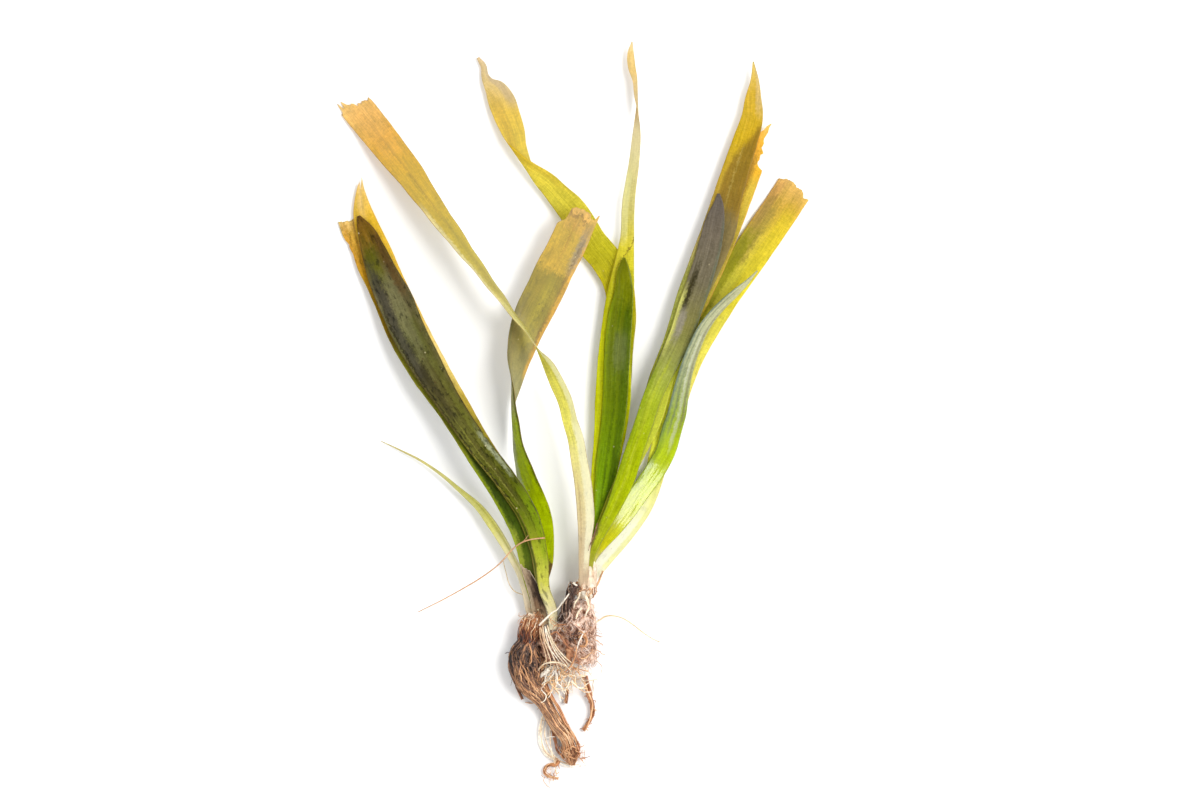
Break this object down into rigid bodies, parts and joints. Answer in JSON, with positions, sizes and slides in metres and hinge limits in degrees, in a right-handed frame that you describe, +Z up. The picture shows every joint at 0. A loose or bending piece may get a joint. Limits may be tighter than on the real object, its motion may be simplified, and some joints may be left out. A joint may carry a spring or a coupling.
{
  "type": "uprooted vallisneria",
  "caption": "Uprooted ribbon-leaved aquarium plant lying flat, with long yellowing leaves fanned out from short crowns and bare, tangled roots.",
  "frame": {"origin": "on the flat underside of the right root clump, on the surface that the plant lies on", "axes": "+Y along the plant towards its leaf tips, +Z up, away from the surface, +X to the right as seen from above"},
  "size_m": [0.1424, 0.2241, 0.0161],
  "materials": {
    "dark_leaf": "wet olive leaf",
    "green_leaf": "wet green leaf",
    "yellow_leaf": "wet yellowing leaf",
    "pale_leaf": "wet pale leaf",
    "grey_leaf": "wet grey leaf",
    "crown": "matt fibrous",
    "brown_root": "matt fibrous",
    "sandy_root": "matt fibrous",
    "cream_root": "satin root skin"
  },
  "bodies": {
    "root": {"left_dark_leaf": "dark_leaf", "left_pointed_leaf": "yellow_leaf", "left_torn_leaf": "yellow_leaf", "left_folded_leaf": "yellow_leaf", "left_young_leaf": "pale_leaf", "left_old_sheath": "crown", "right_golden_leaf": "yellow_leaf", "right_long_leaf": "yellow_leaf", "right_rounded_leaf": "green_leaf", "right_curled_leaf": "yellow_leaf", "right_tall_leaf": "green_leaf", "right_grey_tipped_leaf": "grey_leaf", "right_orange_leaf": "yellow_leaf", "right_wide_leaf": "yellow_leaf", "right_silver_leaf": "grey_leaf", "left_crown": "crown", "right_crown": "crown", "left_root_clump": "brown_root", "right_root_clump": "sandy_root", "root_bundle": "brown_root", "root_curl": "brown_root", "root_stub": "sandy_root", "left_stray_root": "cream_root", "left_fine_root": "cream_root", "bridging_root": "cream_root", "right_stray_root": "cream_root", "right_loop_root": "brown_root", "white_outer_root": "cream_root", "white_inner_root": "cream_root", "tail_root": "cream_root"}
  },
  "joints": []
}
